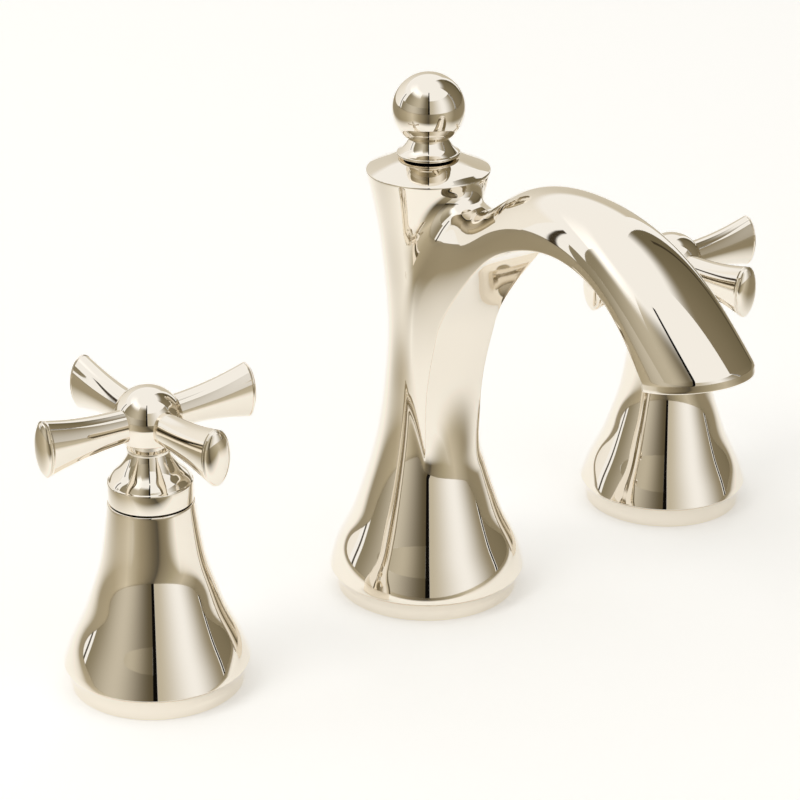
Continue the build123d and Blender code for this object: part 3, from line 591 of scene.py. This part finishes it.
# %% [markdown]
# The arch ends in a short straight lip round its mouth, square to the last section. Three more sections draw
# in by a fraction of a millimetre and round the lip's edge, so that it catches a thin line of light.

# %% Lip
mouth_edge = Vector((0, rows[-1, 0], rows[-1, 1]))
mouth_crown = Vector((0, rows[-1, 2], rows[-1, 3]))
mouth_across = (mouth_crown - mouth_edge).normalized()
mouth_down = Vector((1, 0, 0)).cross(mouth_across)
mouth_half_depth, lip = 7.5, 2.4
mouth_middle = mouth_edge + mouth_across * mouth_half_depth
straight_drops = (0.3, 0.8, 1.4, lip - 0.35)
rounding = ((lip - 0.2, 0.04), (lip - 0.08, 0.13), (lip, 0.3))  # each one's drop and how far it draws in
last = sections[-1]
for drop in straight_drops:
    sections.append([p + mouth_down * drop for p in last])
for drop, inset in rounding:
    sections.append([p + mouth_down * drop + (mouth_middle - p).normalized() * inset for p in last])

shape = bmesh.new()
rings = [[shape.verts.new(p * MM) for p in section] for section in sections]
shape.faces.new(rings[0])
shape.faces.new(rings[-1])
for lower, upper in zip(rings, rings[1:]):
    bridge(shape, lower, upper)
arch_mesh = as_mesh(shape, "arch")
smooth(arch_mesh, 40)
print("arch:", len(arch_mesh.polygons), "faces, mouth", round(2 * mouth_half_w, 1), "mm wide")

# %% [markdown]
# The mouth holds the aerator, so it has a round recess with a boss behind it. Both are plain cylinders, one
# added and one cut. Blender's exact boolean joins column, arch and boss into one closed skin, as the casting
# is, and then cuts the recess. A fast boolean would leave gaps where the surfaces nearly touch.


# %% Mouth recess
def plug(centre, direction, radius, depth, turns=96, half=0):
    """A closed cylinder, or with half at 1 or -1 its upper or lower half, used to fill or to cut."""
    side = Vector((1, 0, 0))
    other = direction.cross(side) * (half or 1)
    shape = bmesh.new()
    angles = [2 * pi * k / turns for k in range(turns)]
    if half:
        angles = [pi * k / turns for k in range(turns + 1)]
    rims = []
    for along in (0, depth):
        middle = centre + direction * along
        points = [middle + (side * cos(a) + other * sin(a)) * radius for a in angles]
        rims.append([shape.verts.new(point * MM) for point in points])
    shape.faces.new(rims[0])
    shape.faces.new(rims[1])
    bridge(shape, rims[0], rims[1])
    return as_mesh(shape, "plug")


def combined(base, tool, operation):
    """The exact union or difference of two closed meshes, as a plain mesh."""
    first, second = new_object("first", base), new_object("second", tool)
    modifier = first.modifiers.new("combine", "BOOLEAN")
    modifier.operation = operation
    modifier.object = second
    modifier.solver = "EXACT"
    bpy.context.view_layer.update()
    evaluated = first.evaluated_get(bpy.context.evaluated_depsgraph_get())
    result = bpy.data.meshes.new_from_object(evaluated)
    bpy.data.objects.remove(first)
    bpy.data.objects.remove(second)
    return result


boss_r, boss_depth = 9.85, 12.0
recess_r, recess_depth = 8.35, 8.0
aerator_share = 0.19  # the aerator's place between the mouth's edge and its crown
mouth_up = -mouth_down
aerator_middle = mouth_edge + (mouth_crown - mouth_edge) * aerator_share + mouth_down * lip
crown_side = 1 if mouth_up.cross(Vector((1, 0, 0))).y >= 0 else -1
boss = plug(aerator_middle, mouth_up, boss_r, boss_depth, 48, half=crown_side)
recess = plug(aerator_middle + mouth_down, mouth_up, recess_r, recess_depth + 1.0)
joined = combined(column_mesh, arch_mesh, "UNION")
joined = combined(joined, boss, "UNION")
joined = combined(joined, recess, "DIFFERENCE")
print("spout after joining:", len(joined.polygons), "faces")

# %% [markdown]
# Where arch and column meet, the foundry leaves a hollow instead of a crease: tight low down and generous
# under the rim. A Bevel modifier fails here, because the crease ends in nothing at both sides. So the joint
# is refined, and each point near it moves to where a blend of two distances is zero: how far it is from the
# column's own surface, and how far from the arch's. That is the smooth minimum that sculptors of implicit
# surfaces use. Its normals are blended in the same way, so the mirror runs through the joint unbroken.


# %% Distances from a surface
def surface(mesh):
    """A mesh's triangles and smooth normals, for asking how far a point is from its surface."""
    mesh.calc_loop_triangles()
    places = [v.co.copy() for v in mesh.vertices]
    triangles = [tuple(t.vertices) for t in mesh.loop_triangles]
    normals = [[mesh.corner_normals[i].vector.copy() for i in t.loops] for t in mesh.loop_triangles]
    return BVHTree.FromPolygons(places, triangles), places, triangles, normals


def distance(skin, point):
    """Signed distance in metres from a surface, and its smooth normal at the nearest point."""
    tree, places, triangles, normals = skin
    near, face_normal, index, length = tree.find_nearest(point)
    a, b, c = (places[i] for i in triangles[index])
    v0, v1, v2 = b - a, c - a, near - a
    d00, d01, d11, d20, d21 = v0.dot(v0), v0.dot(v1), v1.dot(v1), v2.dot(v0), v2.dot(v1)
    area = d00 * d11 - d01 * d01
    if abs(area) < 1e-24:
        return (point - near).dot(face_normal), face_normal
    v = (d11 * d20 - d01 * d21) / area
    w = (d00 * d21 - d01 * d20) / area
    normal = normals[index][0] * (1 - v - w) + normals[index][1] * v + normals[index][2] * w
    side = 1 if (point - near).dot(face_normal) >= 0 else -1
    return side * length, normal.normalized()


hollow_least, hollow_growth = 1.2, 5.3
widens_from, widens_over = 104, 20


def hollow(z):
    """The blend's width in metres at a height: tight low down, generous under the column's rim."""
    t = min(max((z / MM - widens_from) / widens_over, 0), 1)
    return (hollow_least + hollow_growth * t * t * (3 - 2 * t)) * MM


smooth(column_mesh, 30)
column_skin, arch_skin = surface(column_mesh), surface(arch_mesh)
print("hollow:", round(hollow(0.05) / MM, 2), "mm low down,", round(hollow(0.13) / MM, 2), "mm at the top")

# %% [markdown]
# The joint needs small faces before its points move. Long edges near it are cut in half three times, each
# time down to a finer size, and the faces there become triangles, which can't warp.

# %% Refining the joint
joint_low, joint_high = 0.03, 0.1395
joint_front, joint_back, joint_side = -0.036, 0.012, 0.02
beyond_joint = 1.15


def near_joint(point, reach=1.0):
    """Whether a point is within the hollow's width of both the column and the arch."""
    if not joint_low < point.z < joint_high or abs(point.x) > joint_side:
        return False
    if not joint_front <= point.y <= joint_back:
        return False
    width = hollow(point.z) * reach
    return abs(distance(column_skin, point)[0]) <= width and abs(distance(arch_skin, point)[0]) <= width


shape = bmesh.new()
shape.from_mesh(joined)
bmesh.ops.remove_doubles(shape, verts=shape.verts, dist=1e-6)
for size in (2.2, 1.3, 0.8):
    close = {vertex for vertex in shape.verts if near_joint(vertex.co, beyond_joint)}
    edges = [e for e in shape.edges if not close.isdisjoint(e.verts) and e.calc_length() > size * MM]
    wide_faces = list({face for e in edges for face in e.link_faces if len(face.verts) > 4})
    bmesh.ops.triangulate(shape, faces=wide_faces)
    edges = [e for e in shape.edges if not close.isdisjoint(e.verts) and e.calc_length() > size * MM]
    bmesh.ops.subdivide_edges(shape, edges=edges, cuts=1, use_grid_fill=False)
joint_faces = [face for face in shape.faces if any(near_joint(v.co, beyond_joint) for v in face.verts)]
bmesh.ops.triangulate(shape, faces=joint_faces)
print("spout after refining:", len(shape.faces), "faces")

# %% [markdown]
# Now the points move. One step along the blended normal lands close to the blended surface, and four steps
# land on it. The blended normals are kept as custom normals, and every other corner keeps its own, which is
# what a zero vector asks for.

# %% Blending the joint
blend_steps = 4
blend_normals = {}
shape.verts.ensure_lookup_table()
for vertex in shape.verts:
    if not near_joint(vertex.co):
        continue
    for _ in range(blend_steps):
        to_column, column_normal = distance(column_skin, vertex.co)
        to_arch, arch_normal = distance(arch_skin, vertex.co)
        width = hollow(vertex.co.z)
        share = min(max(0.5 + 0.5 * (to_arch - to_column) / width, 0), 1)
        blended = to_arch * (1 - share) + to_column * share - width * share * (1 - share)
        normal = (column_normal * share + arch_normal * (1 - share)).normalized()
        vertex.co -= normal * blended
    blend_normals[vertex.index] = normal
spout_mesh = bpy.data.meshes.new("spout")
shape.to_mesh(spout_mesh)
shape.free()
smooth(spout_mesh, 38)
own_normal = (0, 0, 0)
spout_mesh.normals_split_custom_set([
    tuple(blend_normals[loop.vertex_index]) if loop.vertex_index in blend_normals else own_normal
    for loop in spout_mesh.loops
])
spout = new_object("spout", spout_mesh)
print("blended points:", len(blend_normals))

# %% [markdown]
# Each finished piece rides on the body that it belongs to, takes the place of that node's plain solid, and is
# given the polished nickel finish. The bells and the spout stay on the deck. Skirts and hubs turn, and the
# knob rises with its rod.

# %% Pieces join the frame
visible = [(knob, "lift_knob", "lift"), (spout, "spout_body", "faucet")]
for side in ("left", "right"):
    visible += [
        (bells[side], side + "_escutcheon", "faucet"),
        (skirts[side], side + "_handle_skirt", side + "_handle"),
        (handles[side], side + "_cross_handle", side + "_handle"),
    ]
for piece, node, body in visible:
    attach(piece, body)
    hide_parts(node)
    piece.data.materials.clear()
    piece.data.materials.append(nickel)
print("pieces in place:", len(visible))

# %% [markdown]
# A mirror is photographed by photographing its room. This room is white, as the paper behind the faucet is,
# so every gap between the walls shows in the metal as white light. The floor is white paper where the
# picture shows it. Nearer the camera than the picture's lower edge, and past its two sides, it has a brown
# shade. Its brown changes with the direction from the faucet, and is darkest toward the camera. The metal
# mirrors that shade, but no camera ray sees it, so views from other sides still stand on white.
#
# A Mapping node turns and shifts the floor's coordinates, so that one of them runs across the picture and
# the other is the distance from the point below the camera. How far the picture reaches to each side is then
# a plain sum of that distance. The direction is an arctangent of how far a point lies beside the faucet and
# how far before it.

# %% Floor
level = Vector((to_camera.x, to_camera.y, 0)).normalized()
camera_foot = Vector((camera_place.x, camera_place.y, 0))
white_paper = "#fcfcfb"
shade_by_angle = (
    # degrees from the camera's direction, positive to the right of the picture, and the brown there
    (-180, "#968c75"), (-110, "#8b8169"), (-75, "#a59b84"), (-52, "#c4bca9"),
    (-30, "#958b74"), (-9, "#625944"), (0, "#453e2f"), (5, "#716750"),
    (30, "#a1987f"), (55, "#c4bca9"), (85, "#8b8169"), (180, "#968c75"),
)
shade_from, shade_full, side_soft = 0.615, 0.49, 0.2
paper_glow = 0.25
floor_half = 8.0

floor_paper = bpy.data.materials.new("white_paper")
floor_paper.use_nodes = True
tree = floor_paper.node_tree
paper = tree.nodes["Principled BSDF"]
paper.inputs["Roughness"].default_value = 0.9
half_view = sensor_mm / 2 / lens_mm

place = add_node(tree, "ShaderNodeTexCoord").outputs["Object"]
turned = {"Vector": place, "Rotation": (0, 0, -azimuth), "Location": (0, camera_foot.dot(level), 0)}
turned = add_node(tree, "ShaderNodeMapping", turned)
axes = add_node(tree, "ShaderNodeSeparateXYZ", {0: turned})
across, ahead = axes.outputs["X"], axes.outputs["Y"]
view_edge = {"operation": "MULTIPLY_ADD", 0: ahead, 1: half_view * cos(elevation)}
view_edge = add_node(tree, "ShaderNodeMath", {**view_edge, 2: half_view * camera_place.z * sin(elevation)})
sideways = add_node(tree, "ShaderNodeMath", {"operation": "ABSOLUTE", 0: across})
beyond = add_node(tree, "ShaderNodeMath", {"operation": "SUBTRACT", 0: sideways, 1: view_edge})
soft = {"interpolation_type": "SMOOTHSTEP"}
front = {**soft, "Value": ahead, "From Min": shade_from, "From Max": shade_full}
front = add_node(tree, "ShaderNodeMapRange", front)
flanks = {**soft, "Value": beyond, "From Min": 0.0, "From Max": side_soft}
flanks = add_node(tree, "ShaderNodeMapRange", flanks)
shade = add_node(tree, "ShaderNodeMath", {"operation": "MAXIMUM", 0: front, 1: flanks})
rays = add_node(tree, "ShaderNodeLightPath").outputs
mirrored = add_node(tree, "ShaderNodeMath", {"operation": "SUBTRACT", 0: 1.0, 1: rays["Is Camera Ray"]})
shade = add_node(tree, "ShaderNodeMath", {"operation": "MULTIPLY", 0: shade, 1: mirrored})
toward = add_node(tree, "ShaderNodeMath", {"operation": "SUBTRACT", 0: camera_foot.dot(level), 1: ahead})
angle = add_node(tree, "ShaderNodeMath", {"operation": "ARCTAN2", 0: across, 1: toward})
turn = add_node(tree, "ShaderNodeMapRange", {"Value": angle, "From Min": -pi, "From Max": pi})
brown = add_node(tree, "ShaderNodeValToRGB", {0: turn})
stops = brown.color_ramp.elements
stops.remove(stops[1])
stops[0].color = linear(shade_by_angle[0][1])
for degrees, colour in shade_by_angle[1:]:
    stops.new((degrees + 180) / 360).color = linear(colour)
tint = {"data_type": "RGBA", 0: shade, 6: linear(white_paper), 7: brown}
tint = add_node(tree, "ShaderNodeMix", tint).outputs[2]
seen = {"operation": "MAXIMUM", 0: rays["Is Camera Ray"], 1: rays["Is Glossy Ray"]}
seen = add_node(tree, "ShaderNodeMath", seen)
seen = add_node(tree, "ShaderNodeMath", {"operation": "MAXIMUM", 0: seen, 1: rays["Is Transmission Ray"]})
glow = add_node(tree, "ShaderNodeMath", {"operation": "MULTIPLY", 0: seen, 1: paper_glow})
tree.links.new(tint, paper.inputs["Base Color"])
tree.links.new(tint, paper.inputs["Emission Color"])
tree.links.new(glow.outputs[0], paper.inputs["Emission Strength"])


def sheet(name, low_row, high_row, material):
    """A sheet between two rows of points, with coordinates across and upward."""
    count = len(low_row)
    faces = [(i, i + 1, count + i + 1, count + i) for i in range(count - 1)]
    mesh = bpy.data.meshes.new(name)
    mesh.from_pydata([tuple(p) for p in (*low_row, *high_row)], [], faces)
    uv = mesh.uv_layers.new(name="UVMap")
    for loop, corner in zip(mesh.loops, uv.data):
        corner.uv = (loop.vertex_index % count / (count - 1), loop.vertex_index // count)
    mesh.materials.append(material)
    piece = new_object(name, mesh)
    return piece


near_row = [(-floor_half, -floor_half, 0), (floor_half, -floor_half, 0)]
far_row = [(-floor_half, floor_half, 0), (floor_half, floor_half, 0)]
sheet("deck_paper", near_row, far_row, floor_paper)
print("floor:", 2 * floor_half, "m wide")

# %% [markdown]
# The world is the room's white walls. Rays from the camera, and those that metal or glass send on, see pure
# white. All others, which only light the faucet, see it a little dimmer, so that pale surfaces don't clip.

# %% World
world = bpy.data.worlds.new("studio")
bpy.context.scene.world = world
world.use_nodes = True
tree = world.node_tree
tree.nodes.clear()
dim = add_node(tree, "ShaderNodeBackground", {"Color": linear("#fdfcfa"), "Strength": 0.85})
white = add_node(tree, "ShaderNodeBackground", {"Color": linear("#ffffff"), "Strength": 1.0})
rays = add_node(tree, "ShaderNodeLightPath").outputs
seen = {"operation": "MAXIMUM", 0: rays["Is Camera Ray"], 1: rays["Is Glossy Ray"]}
seen = add_node(tree, "ShaderNodeMath", seen)
seen = add_node(tree, "ShaderNodeMath", {"operation": "MAXIMUM", 0: seen, 1: rays["Is Transmission Ray"]})
mix = add_node(tree, "ShaderNodeMixShader", {0: seen, 1: dim, 2: white})
add_node(tree, "ShaderNodeOutputWorld", {0: mix})
print("world:", len(tree.nodes), "nodes")

# %% [markdown]
# The walls are glowing cloths about four metres from the faucet. The brown ones give the nickel its warm
# middle tones, and each fades from one side to the other, as a wall does beside a window. A narrow black flag
# behind the camera draws the dark line down the middle of every turned piece. Its edges are feathered, so
# that the line is soft. The camera itself looks through all of them at the white room.

# %% Cloths
past_edge = 0.001  # keeps a cloth without feather or fade solid up to its very edge


def cloth(name, left, right, feather=0.0, fade=0.0, strength=1.0):
    """A cloth that fades from one colour to another across its width, with soft sides or a soft top."""
    material = bpy.data.materials.new(name)
    material.use_nodes = True
    tree = material.node_tree
    tree.nodes.clear()
    place = add_node(tree, "ShaderNodeTexCoord").outputs["UV"]
    axes = add_node(tree, "ShaderNodeSeparateXYZ", {0: place})
    across, upward = axes.outputs["X"], axes.outputs["Y"]
    soft = {"interpolation_type": "SMOOTHSTEP"}
    share = add_node(tree, "ShaderNodeMapRange", {**soft, "Value": across})
    colour = {"data_type": "RGBA", 0: share, 6: linear(left), 7: linear(right)}
    colour = add_node(tree, "ShaderNodeMix", colour).outputs[2]
    glowing = add_node(tree, "ShaderNodeEmission", {"Color": colour, "Strength": strength})
    other = add_node(tree, "ShaderNodeMath", {"operation": "SUBTRACT", 0: 1.0, 1: across})
    edge = add_node(tree, "ShaderNodeMath", {"operation": "MINIMUM", 0: across, 1: other})
    sides = {**soft, "Value": edge, "From Min": -past_edge, "From Max": feather}
    sides = add_node(tree, "ShaderNodeMapRange", sides)
    top = {**soft, "Value": upward, "From Min": 1.0 + past_edge, "From Max": 1.0 - fade}
    top = add_node(tree, "ShaderNodeMapRange", top)
    solid = add_node(tree, "ShaderNodeMath", {"operation": "MULTIPLY", 0: sides, 1: top})
    from_camera = add_node(tree, "ShaderNodeLightPath").outputs["Is Camera Ray"]
    mirrored = add_node(tree, "ShaderNodeMath", {"operation": "SUBTRACT", 0: 1.0, 1: from_camera})
    solid = add_node(tree, "ShaderNodeMath", {"operation": "MULTIPLY", 0: solid, 1: mirrored})
    clear = add_node(tree, "ShaderNodeBsdfTransparent")
    mix = add_node(tree, "ShaderNodeMixShader", {0: solid, 1: clear, 2: glowing})
    add_node(tree, "ShaderNodeOutputMaterial", {0: mix})
    return material


outer_left = cloth("outer_left_cloth", "#8f866f", "#cdc6b6")
inner_left = cloth("inner_left_cloth", "#cdc6b6", "#5b523e")
upper_left = cloth("upper_left_cloth", "#8f866f", "#c4bca9", fade=0.55)
upper_middle = cloth("upper_middle_cloth", "#c4bca9", "#665d48", fade=0.5)
inner_right = cloth("inner_right_cloth", "#c6beab", "#ffffff")
outer_right = cloth("outer_right_cloth", "#ffffff", "#968c75")
brown_right = cloth("right_brown_cloth", "#857b64", "#6f664f", fade=0.45)
pale_back = cloth("back_pale_cloth", "#cfc7b5", "#fbf8f2", fade=0.3)
soft_white = cloth("soft_white_cloth", "#ffffff", "#ffffff", feather=0.5, fade=0.6, strength=1.35)
black = cloth("black_flag", "#0c0b09", "#0c0b09", feather=0.12)
dark = cloth("dark_brown_flag", "#40382a", "#40382a", feather=0.3)

# %% [markdown]
# Angles are counted from the direction of the camera, positive to the right of the picture. What a wall at
# some angle does is easy to find on a turned piece: its middle mirrors angle 0, and its two edges mirror what
# stands behind the faucet. How high a wall is decides how far up the lower flare it shows.

# %% Walls and flags
walls = (
    # name, from and to in degrees, low and high edge in metres, distance in metres, cloth
    ("outer_left_wall", -96, -50, 0.0, 1.35, 4.0, outer_left),
    ("inner_left_wall", -50, -2, 0.0, 1.35, 4.0, inner_left),
    ("upper_left_wall", -88, -36, 1.35, 5.4, 4.0, upper_left),
    ("upper_middle_wall", -36, -2.2, 1.2, 7.5, 4.05, upper_middle),
    ("camera_flag", -2.6, 3.4, 0.0, 9.0, 3.9, black),
    ("inner_right_wall", 3.2, 48, 0.0, 3.3, 4.0, inner_right),
    ("outer_right_wall", 48, 89, 0.0, 3.3, 4.0, outer_right),
    ("right_flag", 90, 92.5, 0.0, 3.2, 3.8, black),
    ("right_back_wall", 93, 150, 0.0, 8.4, 4.0, brown_right),
    ("right_back_flag", 141, 144, 0.0, 3.2, 3.8, dark),
    ("left_flag", -104, -100, 0.0, 2.4, 3.8, dark),
    ("back_wall", 158, 250, 0.0, 2.9, 4.2, pale_back),
    ("soft_white", -135, -15, 4.2, 10.0, 4.3, soft_white),
)
panel_degrees = 15
for name, start, end, low, high, far, material in walls:
    parts = max(1, round((end - start) / panel_degrees))
    angles = [radians(start + (end - start) * i / parts) for i in range(parts + 1)]
    outward = [(level * cos(angle) + to_right * sin(angle)) * far for angle in angles]
    low_row = [p + Vector((0, 0, low)) for p in outward]
    high_row = [p + Vector((0, 0, high)) for p in outward]
    sheet(name, low_row, high_row, material)
print("walls and flags:", len(walls))

# %% [markdown]
# One soft lamp from the upper left gives the floor its shadow. The metal doesn't mirror the lamp, whose hard
# square would look like a window. It mirrors the soft white cloth in the same direction instead.

# %% Lamp
lamp_place = Vector((-1.5, 0.1, 1.5))
lamp_target = Vector((0, 0, 0.08))
lamp_data = bpy.data.lights.new("key", "AREA")
lamp_data.shape = "SQUARE"
lamp_data.size = 1.0
lamp_data.energy = 9
lamp = bpy.data.objects.new("key", lamp_data)
bpy.context.scene.collection.objects.link(lamp)
lamp.location = lamp_place
lamp.rotation_euler = (lamp_place - lamp_target).to_track_quat("Z", "Y").to_euler()
lamp.visible_glossy = False
print("lamp:", lamp_data.energy, "W,", round((lamp_place - lamp_target).length, 2), "m away")
